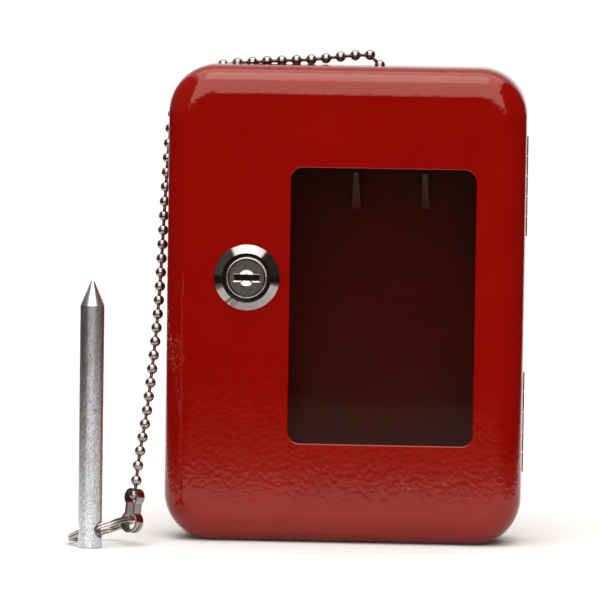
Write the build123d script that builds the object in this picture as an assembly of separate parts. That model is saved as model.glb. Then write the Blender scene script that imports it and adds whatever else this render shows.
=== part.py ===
from build123d import *
from math import cos, radians, sin, tan
import os

# A wall-mounted emergency key box: a steel tray, a hinged steel lid with a glass pane and a
# cam lock, key hooks inside, and a pointed striker on a ball chain for breaking the glass.
# X is right, Y goes into the wall, Z is up. The origin is the centre of the wall screws, on
# the wall side of the tray. Millimetres and degrees.

# Driving sizes
LID_WIDTH = 120.0
LID_HEIGHT = 160.0
BOX_DEPTH = 40.0
SHEET = 1.0

# Lid
LID_CORNER = 16.0
LID_FRONT_FILLET = 9.5
LID_RIM_Y = -14.0
LID_FACE_Y = -BOX_DEPTH
LID_INNER_Y = LID_FACE_Y + SHEET

# Tray
TRAY_INSET = 2.4
TRAY_WIDTH = LID_WIDTH - 2 * TRAY_INSET
TRAY_HEIGHT = LID_HEIGHT - 2 * TRAY_INSET
TRAY_DEPTH = 22.0
TRAY_SHEET = 0.9
TRAY_CORNER = 20.0
TRAY_BACK_FILLET = 2.5
TRAY_SIDE_X = TRAY_WIDTH / 2
TRAY_TOP_Z = TRAY_HEIGHT / 2
WALL_SCREW_HOLE = 5.0
WALL_SCREW_X = 44.0
WALL_SCREW_Z = 60.0

# Window and what holds the glass
WINDOW_WIDTH = 62.0
WINDOW_HEIGHT = 92.5
WINDOW_X = 12.8
WINDOW_CORNER = 4.0
WINDOW_EDGE_ROUND = 0.4
PANE_OVERLAP = 1.8
PANE_THICK = 2.0
SEAL_OVERLAP = 2.6
SEAL_THICK = 3.0
SEAL_LIP = 0.5
SEAL_SET_BACK = 0.6
RETAINER_HEIGHT = 114.0
RETAINER_THICK = 0.8
STUD_X = 24.0
STUD_Z = 52.5
STUD_DIAMETER = 3.0
STUD_LENGTH = 6.4
NUT_FLATS = 5.5
NUT_THICK = 2.4

# Hinges, on the right side
HINGE_X = 59.0
HINGE_Y = LID_RIM_Y + 1.7
HINGE_LENGTH = 34.0
HINGE_Z = 40.0
KNUCKLE_COUNT = 5
KNUCKLE_DIAMETER = 2.6
KNUCKLE_BORE = 1.5
KNUCKLE_GAP = 0.25
PIN_DIAMETER = 1.4
LEAF_THICK = 0.8
CASE_LEAF_REACH = 9.6
DOOR_LEAF_REACH = 11.5
LEAF_CLEARANCE = 1.9
RIVET_DIAMETER = 2.4
RIVET_HEAD = 4.4
RIVET_HEAD_THICK = 0.6

# Cam lock
LOCK_X = -32.5
LOCK_Z = 9.2
BEZEL_DIAMETER = 22.0
BEZEL_CROWN = 16.6
BEZEL_BORE = 15.9
BEZEL_RISE = 3.0
BEZEL_FOOT = 0.6
HOUSING_DIAMETER = 18.6
HOUSING_FLATS = 16.0
HOUSING_NOSE = 13.7
HOUSING_NOSE_LIP = 0.25
HOUSING_NOSE_RISE = 0.3
HOUSING_FLANGE = 21.0
HOUSING_FLANGE_THICK = 1.0
HOUSING_BACK_Y = -25.4
PLUG_DIAMETER = 12.4
PLUG_BORE = 12.6
PLUG_CHAMFER = 0.35
PLUG_FACE_Y = LID_FACE_Y - 2.4
KEYWAY_WIDTH = 8.3
KEYWAY_HEIGHT = 2.1
KEYWAY_DEPTH = 12.4
KEYWAY_RIM = 0.4
KEY_DIMPLE = 5.5
KEY_DIMPLE_FLOOR = 2.4
KEY_DIMPLE_DEPTH = 0.9
SHUTTER_SET_BACK = 2.6
SHUTTER_THICK = 0.4
TAIL_SIDE = 6.5
TAIL_END_Y = -22.4
WAFER_COUNT = 5
WAFER_PITCH = 2.0
WAFER_THICK = 0.6
WAFER_LENGTH = 11.2
WAFER_WIDTH = 5.4
WAFER_WINDOW_WIDTH = 7.2
WAFER_WINDOW_HEIGHT = 2.5
FIRST_WAFER_DEPTH = 3.4
WAFER_SLACK = 0.1
SPRING_DIAMETER = 0.9
SPRING_LENGTH = 2.0
SPRING_RISE = 3.5
SPRING_START = 4.4
CAM_THICK = 2.0
CAM_WIDTH = 12.0
CAM_REACH = 20.5
CAM_END_ROUND = 5.9
LOCK_NUT_FLATS = 22.0
LOCK_NUT_THICK = 3.0
LOCK_WASHER_THICK = 0.6
STAR_TEETH = 12
STAR_NOTCH = 1.6
CAM_WASHER_DIAMETER = 10.0
CAM_WASHER_THICK = 0.6
CAM_SCREW_DIAMETER = 4.0
CAM_SCREW_HEAD = 8.4
CAM_SCREW_HEAD_THICK = 2.2
CAM_SCREW_DOME = 0.9
CAM_SCREW_SLOT = 1.0
CAM_SCREW_DEPTH = 5.0

# Keeper that the cam turns behind
KEEPER_FRONT_Y = -25.6
KEEPER_BACK_Y = -6.0
KEEPER_HEIGHT = 22.0
KEEPER_LIP = 7.5
KEEPER_SHEET = 0.8

# Key hooks
RAIL_X = 2.1
RAIL_WIDTH = 76.0
RAIL_BOTTOM_Z = 23.0
RAIL_HEIGHT = 37.0
HOOK_COUNT = 3
HOOK_PITCH = 23.4
HOOK_ROOT_Z = 31.8
HOOK_RISE = 12.7
HOOK_REACH = 9.0
HOOK_ROOT_WIDTH = 3.0
HOOK_TIP_WIDTH = 1.8
HOOK_SLOT_WIDTH = 4.2
HOOK_SLOT_CORNER = 1.6
HOOK_FOOT = 1.0
HOOK_HEEL = 0.6
HOOK_END = 0.4
RAIL_CORNER = 2.0
RAIL_RIVET_X = 33.0
RAIL_RIVET_COUNT = 3
RAIL_RIVET_EDGE = 5.5
RAIL_RIVET_HEAD = 6.0
RAIL_RIVET_HEAD_THICK = 1.0
RAIL_RIVET_DOME = 0.8

# Striker rod, standing in front of the left side of the box
STRIKER_X = -82.0
STRIKER_Y = -64.0
STRIKER_DIAMETER = 8.0
STRIKER_LENGTH = 88.7
STRIKER_CONE = 8.1
STRIKER_TIP = 0.5
STRIKER_EDGE = 0.4
STRIKER_HOLE = 6.0
STRIKER_HOLE_RISE = 6.2
STRIKER_TURN = 16.0
FLOOR_Z = -LID_HEIGHT / 2

# Split ring through the striker
RING_MEAN_RADIUS = 11.3
RING_WIRE_WIDTH = 1.3
RING_STACK = 2.0
RING_GROOVE = 0.16
RING_TILT = 20.0
RING_DROP = 5.2

# Coupling between the ring and the chain
COUPLING_HEIGHT = 15.0
COUPLING_LOOP = 7.2
COUPLING_HEAD = 6.1
COUPLING_WAIST = 4.2
COUPLING_STRIP = 0.7
COUPLING_WIDTH = 3.4
COUPLING_SLOT = 0.9
COUPLING_MOUTH = 2.0
COUPLING_HANG = 1.1
COUPLING_LEAN = (0.08, 0.12, 0.99)
COUPLING_TURN = 38.0

# Ball chain: hand-chosen route of its centre line, from the stop inside the box to the coupling
BEAD_DIAMETER = 3.6
CHAIN_HOLE_X = 10.5
CHAIN_HOLE_Y = -8.0
CHAIN_ROUTE = [
    (10.5, -8.0, 72.4),
    (10.5, -8.0, 83.9),
    (-1.5, -8.1, 82.9),
    (-13.5, -8.1, 81.3),
    (-25.0, -8.4, 80.9),
    (-36.0, -8.8, 80.1),
    (-44.0, -9.1, 79.6),
    (-54.2, -9.3, 74.4),
    (-60.0, -9.6, 65.0),
    (-61.4, -10.2, 56.0),
    (-61.9, -11.6, 46.0),
    (-62.4, -14.6, 32.6),
    (-62.7, -19.2, 17.6),
    (-62.9, -25.5, 3.1),
    (-63.4, -32.5, -11.5),
    (-64.3, -39.8, -25.6),
    (-65.4, -46.6, -39.8),
]
CHAIN_LAST_RUN = 11.0
END_BEAD_DROP = 2.5
ARC_SHARE = 0.45
GROMMET_FLANGE = 9.0
GROMMET_NECK = 7.0
GROMMET_BORE = 4.6
GROMMET_LIP = 0.8
STOP_DIAMETER = 8.0
STOP_HEIGHT = 2.2
STOP_EDGE = 0.5

ON_BASE = (Align.CENTER, Align.CENTER, Align.MIN)


def facing_front(x, y, z):
    """A plane whose x is right and y is up for someone in front of the box; its normal is -Y."""
    return Plane(origin=(x, y, z), x_dir=(1, 0, 0), z_dir=(0, -1, 0))


def plate(width, height, corner, x, z, y_front, y_back):
    """A rounded rectangle seen from the front, filled from y_back to y_front."""
    outline = RectangleRounded(width, height, corner)
    return extrude(facing_front(x, y_back, z) * outline, amount=y_back - y_front)


def bar(width, height, x, z, y_front, y_back):
    """A square-cornered block given by its front view and its depth."""
    outline = Rectangle(width, height)
    return extrude(facing_front(x, y_back, z) * outline, amount=y_back - y_front)


def disc(diameter, x, z, y_front, y_back):
    """A round block along Y."""
    return facing_front(x, y_back, z) * Cylinder(diameter / 2, y_back - y_front, align=ON_BASE)


def hexagon(flats, x, z, y_front, y_back, turn=0):
    """A hexagonal block along Y, given across its flats."""
    outline = RegularPolygon(flats / 2, 6, major_radius=False, rotation=turn)
    return extrude(facing_front(x, y_back, z) * outline, amount=y_back - y_front)


def side_disc(diameter, y, z, x_left, x_right):
    """A round block along X."""
    across = Plane(origin=(x_left, y, z), x_dir=(0, 1, 0), z_dir=(1, 0, 0))
    return across * Cylinder(diameter / 2, x_right - x_left, align=ON_BASE)


def upright(diameter, x, y, z_low, z_high):
    """A round block along Z."""
    return Pos(x, y, z_low) * Cylinder(diameter / 2, z_high - z_low, align=ON_BASE)


def front_edges(solid):
    return solid.faces().sort_by(Axis.Y)[0].edges()


def back_edges(solid):
    return solid.faces().sort_by(Axis.Y)[-1].edges()


def joined(solids):
    """One compound of separate solids, for pieces that repeat."""
    return Compound(children=list(solids))


# ---- Lid, glass and what holds it ----


def door_shell():
    outer = plate(LID_WIDTH, LID_HEIGHT, LID_CORNER, 0, 0, LID_FACE_Y, LID_RIM_Y)
    outer = fillet(front_edges(outer), LID_FRONT_FILLET)
    inner = plate(
        LID_WIDTH - 2 * SHEET, LID_HEIGHT - 2 * SHEET, LID_CORNER - SHEET, 0, 0, LID_INNER_Y, LID_RIM_Y
    )
    inner = fillet(front_edges(inner), LID_FRONT_FILLET - SHEET)
    window = plate(
        WINDOW_WIDTH, WINDOW_HEIGHT, WINDOW_CORNER, WINDOW_X, 0, LID_FACE_Y - SHEET, LID_INNER_Y + SHEET
    )
    shell = outer - inner - window
    window_edge = shell.faces().sort_by(Axis.Y)[0].inner_wires()[0].edges()
    shell = fillet(window_edge, WINDOW_EDGE_ROUND)
    lock_hole = disc(HOUSING_DIAMETER, LOCK_X, LOCK_Z, LID_FACE_Y - SHEET, LID_INNER_Y + SHEET)
    lock_flats = bar(
        HOUSING_DIAMETER, HOUSING_FLATS, LOCK_X, LOCK_Z, LID_FACE_Y - SHEET, LID_INNER_Y + SHEET
    )
    return shell - (lock_hole & lock_flats)


def window_frame(overlap, y_front, y_back):
    """A plate that reaches past the window by the same amount all round."""
    return plate(
        WINDOW_WIDTH + 2 * overlap,
        WINDOW_HEIGHT + 2 * overlap,
        WINDOW_CORNER,
        WINDOW_X,
        0,
        y_front,
        y_back,
    )


def glass_pane():
    front = LID_INNER_Y + SEAL_LIP
    return window_frame(PANE_OVERLAP, front, front + PANE_THICK)


def pane_seal():
    back = LID_INNER_Y + SEAL_THICK
    body = window_frame(SEAL_OVERLAP, LID_INNER_Y, back)
    opening = window_frame(SEAL_SET_BACK, LID_INNER_Y - SHEET, back + SHEET)
    return body - opening - glass_pane()


def stud_places():
    return [(WINDOW_X + side * STUD_X, end * STUD_Z) for side in (-1, 1) for end in (-1, 1)]


def pane_retainer():
    front = LID_INNER_Y + SEAL_THICK
    back = front + RETAINER_THICK
    width = WINDOW_WIDTH + 2 * SEAL_OVERLAP
    frame = plate(width, RETAINER_HEIGHT, WINDOW_CORNER, WINDOW_X, 0, front, back)
    frame -= window_frame(SEAL_SET_BACK, front - SHEET, back + SHEET)
    for x, z in stud_places():
        frame -= disc(STUD_DIAMETER, x, z, front - SHEET, back + SHEET)
    return frame


def retainer_studs():
    end = LID_INNER_Y + STUD_LENGTH
    return joined(disc(STUD_DIAMETER, x, z, LID_INNER_Y, end) for x, z in stud_places())


def retainer_nuts():
    front = LID_INNER_Y + SEAL_THICK + RETAINER_THICK
    back = front + NUT_THICK
    nuts = []
    for x, z in stud_places():
        nuts.append(hexagon(NUT_FLATS, x, z, front, back) - disc(STUD_DIAMETER, x, z, front, back))
    return joined(nuts)


# ---- Tray ----


def wall_screw_places():
    return [(sx * WALL_SCREW_X, sz * WALL_SCREW_Z) for sx in (-1, 1) for sz in (-1, 1)]


def rail_rivet_places():
    z = RAIL_BOTTOM_Z + RAIL_HEIGHT - RAIL_RIVET_EDGE
    middle = (RAIL_RIVET_COUNT - 1) / 2
    return [(RAIL_X + (number - middle) * RAIL_RIVET_X, z) for number in range(RAIL_RIVET_COUNT)]


def case_rivet_places():
    """The y and z of each rivet through the tray's right side."""
    middle_y = HINGE_Y + LEAF_CLEARANCE + (CASE_LEAF_REACH - LEAF_CLEARANCE) / 2
    step = HINGE_LENGTH / 3
    return [(middle_y, end * HINGE_Z + row * step) for end in (-1, 1) for row in (-1, 0, 1)]


def keeper_rivet_places():
    y = KEEPER_BACK_Y - KEEPER_HEIGHT / 4
    return [(y, LOCK_Z + row * KEEPER_HEIGHT / 4) for row in (-1, 1)]


def rear_tray():
    outer = plate(TRAY_WIDTH, TRAY_HEIGHT, TRAY_CORNER, 0, 0, -TRAY_DEPTH, 0)
    outer = fillet(back_edges(outer), TRAY_BACK_FILLET)
    inner = plate(
        TRAY_WIDTH - 2 * TRAY_SHEET,
        TRAY_HEIGHT - 2 * TRAY_SHEET,
        TRAY_CORNER - TRAY_SHEET,
        0,
        0,
        -TRAY_DEPTH,
        -TRAY_SHEET,
    )
    inner = fillet(back_edges(inner), TRAY_BACK_FILLET - TRAY_SHEET)
    tray = outer - inner
    for x, z in wall_screw_places():
        tray -= disc(WALL_SCREW_HOLE, x, z, -2 * TRAY_SHEET, TRAY_SHEET)
    for x, z in rail_rivet_places():
        tray -= disc(RIVET_DIAMETER, x, z, -2 * TRAY_SHEET, TRAY_SHEET)
    for y, z in case_rivet_places():
        tray -= side_disc(RIVET_DIAMETER, y, z, TRAY_SIDE_X - 2 * TRAY_SHEET, TRAY_SIDE_X + TRAY_SHEET)
    for y, z in keeper_rivet_places():
        tray -= side_disc(RIVET_DIAMETER, y, z, -TRAY_SIDE_X - TRAY_SHEET, -TRAY_SIDE_X + 2 * TRAY_SHEET)
    tray -= upright(
        GROMMET_NECK, CHAIN_HOLE_X, CHAIN_HOLE_Y, TRAY_TOP_Z - 2 * TRAY_SHEET, TRAY_TOP_Z + TRAY_SHEET
    )
    return tray


# ---- Hinges ----


def knuckle_spans(end, own):
    """The z ranges of one leaf's knuckles; own is 0 for the case leaf and 1 for the door leaf."""
    pitch = HINGE_LENGTH / KNUCKLE_COUNT
    low = end * HINGE_Z - HINGE_LENGTH / 2
    spans = []
    for number in range(KNUCKLE_COUNT):
        if number % 2 == own:
            bottom = low + number * pitch + KNUCKLE_GAP / 2
            spans.append((bottom, bottom + pitch - KNUCKLE_GAP))
    return spans


def leaf_slab(x_left, y_front, y_back, z_low, z_high):
    middle = ((y_front + y_back) / 2, (z_low + z_high) / 2)
    block = Box(LEAF_THICK, y_back - y_front, z_high - z_low)
    return Pos(x_left + LEAF_THICK / 2, *middle) * block


def hinge_leaf(end, own, x_left, reach, side):
    """A flat leaf with its knuckles; side is 1 where the leaf runs towards the wall."""
    low = end * HINGE_Z - HINGE_LENGTH / 2
    near = HINGE_Y + side * LEAF_CLEARANCE
    far = HINGE_Y + side * reach
    leaf = leaf_slab(x_left, min(near, far), max(near, far), low, low + HINGE_LENGTH)
    bore = upright(KNUCKLE_BORE, HINGE_X, HINGE_Y, low - SHEET, low + HINGE_LENGTH + SHEET)
    for bottom, top in knuckle_spans(end, own):
        leaf += leaf_slab(x_left, min(HINGE_Y, near), max(HINGE_Y, near), bottom, top)
        leaf += upright(KNUCKLE_DIAMETER, HINGE_X, HINGE_Y, bottom, top)
    return leaf - bore


def case_hinge_leaves():
    leaves = []
    for end in (-1, 1):
        leaf = hinge_leaf(end, 0, TRAY_SIDE_X, CASE_LEAF_REACH, 1)
        for y, z in case_rivet_places():
            leaf -= side_disc(RIVET_DIAMETER, y, z, TRAY_SIDE_X - SHEET, TRAY_SIDE_X + 2 * SHEET)
        leaves.append(leaf)
    return joined(leaves)


def door_hinge_leaves():
    x_left = LID_WIDTH / 2 - SHEET - LEAF_THICK
    return joined(hinge_leaf(end, 1, x_left, DOOR_LEAF_REACH, -1) for end in (-1, 1))


def hinge_pins():
    half = HINGE_LENGTH / 2
    pins = []
    for end in (-1, 1):
        middle = end * HINGE_Z
        pins.append(upright(PIN_DIAMETER, HINGE_X, HINGE_Y, middle - half, middle + half))
    return joined(pins)


def case_hinge_rivets():
    """Each has a domed head on the leaf and a flat tail inside the tray."""
    inside = TRAY_SIDE_X - TRAY_SHEET
    outside = TRAY_SIDE_X + LEAF_THICK
    rivets = []
    for y, z in case_rivet_places():
        shank = side_disc(RIVET_DIAMETER, y, z, inside - RIVET_HEAD_THICK, outside)
        head = side_disc(RIVET_HEAD, y, z, outside, outside + RIVET_HEAD_THICK)
        tail = side_disc(RIVET_HEAD, y, z, inside - RIVET_HEAD_THICK, inside)
        head = fillet(head.faces().sort_by(Axis.X)[-1].edges(), RIVET_HEAD_THICK / 2)
        rivets.append(shank + head + tail)
    return joined(rivets)


# ---- Cam lock ----


def lock_disc(diameter, y_front, y_back):
    return disc(diameter, LOCK_X, LOCK_Z, y_front, y_back)


def lock_bar(width, height, y_front, y_back):
    return bar(width, height, LOCK_X, LOCK_Z, y_front, y_back)


def lock_bezel():
    """A cone-sided trim ring that hides the housing's flange."""
    cone_start = LID_FACE_Y - BEZEL_FOOT
    ring = lock_disc(BEZEL_DIAMETER, cone_start, LID_FACE_Y)
    cone = Cone(BEZEL_DIAMETER / 2, BEZEL_CROWN / 2, BEZEL_RISE - BEZEL_FOOT, align=ON_BASE)
    ring += facing_front(LOCK_X, cone_start, LOCK_Z) * cone
    ring -= lock_disc(BEZEL_BORE, LID_FACE_Y - 2 * BEZEL_RISE, LID_FACE_Y)
    return ring - lock_disc(HOUSING_FLANGE, LID_FACE_Y - HOUSING_FLANGE_THICK, LID_FACE_Y)


def lock_housing():
    flange_y = LID_FACE_Y - HOUSING_FLANGE_THICK
    body = lock_disc(HOUSING_DIAMETER, LID_FACE_Y, HOUSING_BACK_Y)
    body &= lock_bar(HOUSING_DIAMETER, HOUSING_FLATS, LID_FACE_Y, HOUSING_BACK_Y)
    body += lock_disc(HOUSING_FLANGE, flange_y, LID_FACE_Y)
    nose = lock_disc(HOUSING_NOSE, PLUG_FACE_Y - HOUSING_NOSE_RISE, flange_y)
    body += fillet(front_edges(nose), HOUSING_NOSE_LIP)
    return body - lock_disc(PLUG_BORE, PLUG_FACE_Y - SHEET, HOUSING_BACK_Y + SHEET)


def wafer_fronts():
    first = PLUG_FACE_Y + FIRST_WAFER_DEPTH
    return [first + number * WAFER_PITCH for number in range(WAFER_COUNT)]


def wafer_spring_place(y_front, spring_diameter, length):
    """A short round block along X, in the plug beside a wafer's shoulder."""
    z = LOCK_Z + SPRING_RISE
    y = y_front + WAFER_THICK / 2
    start = LOCK_X - SPRING_START
    return side_disc(spring_diameter, y, z, start, start + length)


def lock_plug():
    plug = lock_disc(PLUG_DIAMETER, PLUG_FACE_Y, HOUSING_BACK_Y)
    plug = chamfer(front_edges(plug), PLUG_CHAMFER)
    plug += lock_bar(TAIL_SIDE, TAIL_SIDE, HOUSING_BACK_Y, TAIL_END_Y)
    plug -= lock_bar(KEYWAY_WIDTH, KEYWAY_HEIGHT, PLUG_FACE_Y - SHEET, PLUG_FACE_Y + KEYWAY_DEPTH)
    rim = Rectangle(KEYWAY_WIDTH, KEYWAY_HEIGHT)
    rim = extrude(facing_front(LOCK_X, PLUG_FACE_Y + KEYWAY_RIM, LOCK_Z) * rim, amount=KEYWAY_RIM, taper=-45)
    dimple = Cone(KEY_DIMPLE_FLOOR / 2, KEY_DIMPLE / 2, KEY_DIMPLE_DEPTH, align=ON_BASE)
    plug -= rim
    plug -= facing_front(LOCK_X, PLUG_FACE_Y + KEY_DIMPLE_DEPTH, LOCK_Z) * dimple
    for y in wafer_fronts():
        plug -= lock_bar(
            WAFER_LENGTH + 2 * WAFER_SLACK,
            WAFER_WIDTH + 2 * WAFER_SLACK,
            y - WAFER_SLACK,
            y + WAFER_THICK + WAFER_SLACK,
        )
        plug -= wafer_spring_place(y, SPRING_DIAMETER + 2 * WAFER_SLACK, SPRING_LENGTH + WAFER_SLACK)
    screw_end = TAIL_END_Y - CAM_SCREW_DEPTH
    return plug - lock_disc(CAM_SCREW_DIAMETER, screw_end, TAIL_END_Y + SHEET)


def lock_wafers():
    wafers = []
    for y in wafer_fronts():
        blade = lock_bar(WAFER_LENGTH, WAFER_WIDTH, y, y + WAFER_THICK)
        blade -= lock_bar(WAFER_WINDOW_WIDTH, WAFER_WINDOW_HEIGHT, y - SHEET, y + SHEET + WAFER_THICK)
        wafers.append(blade)
    return joined(wafers)


def wafer_springs():
    return joined(wafer_spring_place(y, SPRING_DIAMETER, SPRING_LENGTH) for y in wafer_fronts())


def keyway_shutter():
    front = PLUG_FACE_Y + SHUTTER_SET_BACK
    return lock_bar(
        KEYWAY_WIDTH - 2 * WAFER_SLACK, KEYWAY_HEIGHT - 2 * WAFER_SLACK, front, front + SHUTTER_THICK
    )


def lock_star_washer():
    back = LID_INNER_Y + LOCK_WASHER_THICK
    washer = lock_disc(LOCK_NUT_FLATS, LID_INNER_Y, back) - lock_disc(HOUSING_DIAMETER, LID_INNER_Y, back)
    for number in range(STAR_TEETH):
        angle = radians(360 / STAR_TEETH * number)
        x = LOCK_X + LOCK_NUT_FLATS / 2 * cos(angle)
        z = LOCK_Z + LOCK_NUT_FLATS / 2 * sin(angle)
        washer -= disc(STAR_NOTCH, x, z, LID_INNER_Y - SHEET, back + SHEET)
    return washer


def lock_nut():
    front = LID_INNER_Y + LOCK_WASHER_THICK
    back = front + LOCK_NUT_THICK
    nut = hexagon(LOCK_NUT_FLATS, LOCK_X, LOCK_Z, front, back, turn=30)
    return nut - lock_disc(HOUSING_DIAMETER, front, back)


def lock_cam():
    """Points down when unlocked; a quarter turn puts its end behind the keeper's lip."""
    front = TAIL_END_Y - CAM_THICK
    length = CAM_REACH + CAM_WIDTH / 2
    middle_z = LOCK_Z + CAM_WIDTH / 2 - length / 2
    cam = plate(CAM_WIDTH, length, CAM_END_ROUND, LOCK_X, middle_z, front, TAIL_END_Y)
    return cam - lock_bar(TAIL_SIDE, TAIL_SIDE, front - SHEET, TAIL_END_Y + SHEET)


def cam_washer():
    back = TAIL_END_Y + CAM_WASHER_THICK
    washer = lock_disc(CAM_WASHER_DIAMETER, TAIL_END_Y, back)
    return washer - lock_disc(CAM_SCREW_DIAMETER, TAIL_END_Y, back)


def cam_screw():
    head_y = TAIL_END_Y + CAM_WASHER_THICK
    top_y = head_y + CAM_SCREW_HEAD_THICK
    screw = lock_disc(CAM_SCREW_DIAMETER, TAIL_END_Y - CAM_SCREW_DEPTH, head_y)
    head = fillet(back_edges(lock_disc(CAM_SCREW_HEAD, head_y, top_y)), CAM_SCREW_DOME)
    slot = lock_bar(CAM_SCREW_HEAD + SHEET, CAM_SCREW_SLOT, top_y - CAM_SCREW_SLOT, top_y + SHEET)
    return screw + head - slot


def cam_keeper():
    """An angle on the tray's left side, with its lip in front of the locked cam."""
    wall = -TRAY_SIDE_X + TRAY_SHEET
    depth = KEEPER_BACK_Y - KEEPER_FRONT_Y
    upright_leg = Box(KEEPER_SHEET, depth, KEEPER_HEIGHT)
    keeper = Pos(wall + KEEPER_SHEET / 2, KEEPER_FRONT_Y + depth / 2, LOCK_Z) * upright_leg
    lip = Box(KEEPER_LIP, KEEPER_SHEET, KEEPER_HEIGHT)
    keeper += Pos(wall + KEEPER_LIP / 2, KEEPER_FRONT_Y + KEEPER_SHEET / 2, LOCK_Z) * lip
    for y, z in keeper_rivet_places():
        keeper -= side_disc(RIVET_DIAMETER, y, z, wall - SHEET, wall + 2 * SHEET)
    return keeper


def keeper_rivets():
    outside = -TRAY_SIDE_X
    inside = outside + TRAY_SHEET + KEEPER_SHEET
    rivets = []
    for y, z in keeper_rivet_places():
        shank = side_disc(RIVET_DIAMETER, y, z, outside - RIVET_HEAD_THICK, inside)
        head = side_disc(RIVET_HEAD, y, z, inside, inside + RIVET_HEAD_THICK)
        tail = side_disc(RIVET_HEAD, y, z, outside - RIVET_HEAD_THICK, outside)
        rivets.append(shank + head + tail)
    return joined(rivets)


# ---- Key hooks ----


def hook_places():
    middle = (HOOK_COUNT - 1) / 2
    return [RAIL_X + (number - middle) * HOOK_PITCH for number in range(HOOK_COUNT)]


def hook_tongue(x):
    """A tongue cut free from the rail and bent forward and up, narrower at its tip."""
    face = -TRAY_SHEET - SHEET
    tip_z = HOOK_ROOT_Z + HOOK_RISE
    half_root = HOOK_ROOT_WIDTH / 2
    half_tip = HOOK_TIP_WIDTH / 2
    side_view = Plane(origin=(x - HOOK_ROOT_WIDTH, 0, 0), x_dir=(0, 1, 0), z_dir=(1, 0, 0))
    outline = Polyline(
        (face + SHEET / 2, HOOK_ROOT_Z - HOOK_FOOT),
        (face - HOOK_FOOT, HOOK_ROOT_Z - HOOK_FOOT),
        (face - HOOK_REACH, tip_z - HOOK_FOOT),
        (face - HOOK_REACH + HOOK_END, tip_z),
        (face - HOOK_END, HOOK_ROOT_Z + HOOK_HEEL),
        (face + SHEET / 2, HOOK_ROOT_Z + HOOK_HEEL),
        close=True,
    )
    band = extrude(side_view * make_face(outline), amount=2 * HOOK_ROOT_WIDTH)
    front_view = Polyline(
        (-half_root, -HOOK_FOOT),
        (half_root, -HOOK_FOOT),
        (half_tip, HOOK_RISE - half_tip),
        (half_tip / 2, HOOK_RISE),
        (-half_tip / 2, HOOK_RISE),
        (-half_tip, HOOK_RISE - half_tip),
        close=True,
    )
    taper = extrude(facing_front(x, 0, HOOK_ROOT_Z) * make_face(front_view), amount=2 * HOOK_REACH)
    return band & taper


def hook_rail():
    back = -TRAY_SHEET
    face = back - SHEET
    middle_z = RAIL_BOTTOM_Z + RAIL_HEIGHT / 2
    rail = plate(RAIL_WIDTH, RAIL_HEIGHT, RAIL_CORNER, RAIL_X, middle_z, face, back)
    slot_height = HOOK_RISE + HOOK_ROOT_WIDTH / 2
    for x in hook_places():
        middle = HOOK_ROOT_Z + HOOK_HEEL + slot_height / 2
        rail -= plate(
            HOOK_SLOT_WIDTH, slot_height, HOOK_SLOT_CORNER, x, middle, face - SHEET, back + SHEET
        )
        rail += hook_tongue(x)
    for x, z in rail_rivet_places():
        rail -= disc(RIVET_DIAMETER, x, z, face - SHEET, back + SHEET)
    return rail


def rail_rivets():
    face = -TRAY_SHEET - SHEET
    rivets = []
    for x, z in rail_rivet_places():
        head = disc(RAIL_RIVET_HEAD, x, z, face - RAIL_RIVET_HEAD_THICK, face)
        head = fillet(front_edges(head), RAIL_RIVET_DOME)
        rivets.append(head + disc(RIVET_DIAMETER, x, z, face, 0))
    return joined(rivets)


# ---- Striker, ring and coupling ----


def unit(vector):
    return Vector(*vector).normalized()


HOLE_CENTRE = Vector(STRIKER_X, STRIKER_Y, FLOOR_Z + STRIKER_HOLE_RISE)
HOLE_AXIS = unit((cos(radians(STRIKER_TURN)), -sin(radians(STRIKER_TURN)), 0))
BEHIND_HOLE = unit((sin(radians(STRIKER_TURN)), cos(radians(STRIKER_TURN)), 0))
RING_ACROSS = unit((HOLE_AXIS.X, HOLE_AXIS.Y, tan(radians(RING_TILT))))
RING_BACK = unit((BEHIND_HOLE.X, BEHIND_HOLE.Y, -tan(radians(RING_DROP))))
RING_CENTRE = HOLE_CENTRE + RING_BACK * RING_MEAN_RADIUS
RING_RIGHT_END = RING_CENTRE + RING_ACROSS * RING_MEAN_RADIUS
COUPLING_UP = unit(COUPLING_LEAN)
THROUGH_LOOP = unit((sin(radians(COUPLING_TURN)), cos(radians(COUPLING_TURN)), 0))
COUPLING_AXIS = (THROUGH_LOOP - COUPLING_UP * THROUGH_LOOP.dot(COUPLING_UP)).normalized()
COUPLING_LOOP_CENTRE = RING_RIGHT_END - Vector(0, 0, COUPLING_HANG)
COUPLING_TOP = COUPLING_LOOP_CENTRE + COUPLING_UP * (COUPLING_HEIGHT - COUPLING_LOOP / 2)


def striker_rod():
    body_length = STRIKER_LENGTH - STRIKER_CONE
    rod = Cylinder(STRIKER_DIAMETER / 2, body_length, align=ON_BASE)
    rod = chamfer(rod.faces().sort_by(Axis.Z)[0].edges(), STRIKER_EDGE)
    rod += Pos(0, 0, body_length) * Cone(STRIKER_DIAMETER / 2, STRIKER_TIP, STRIKER_CONE, align=ON_BASE)
    rod = Pos(STRIKER_X, STRIKER_Y, FLOOR_Z) * rod
    through = Plane(origin=HOLE_CENTRE - HOLE_AXIS * STRIKER_DIAMETER, z_dir=HOLE_AXIS)
    return rod - through * Cylinder(STRIKER_HOLE / 2, 2 * STRIKER_DIAMETER, align=ON_BASE)


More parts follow.
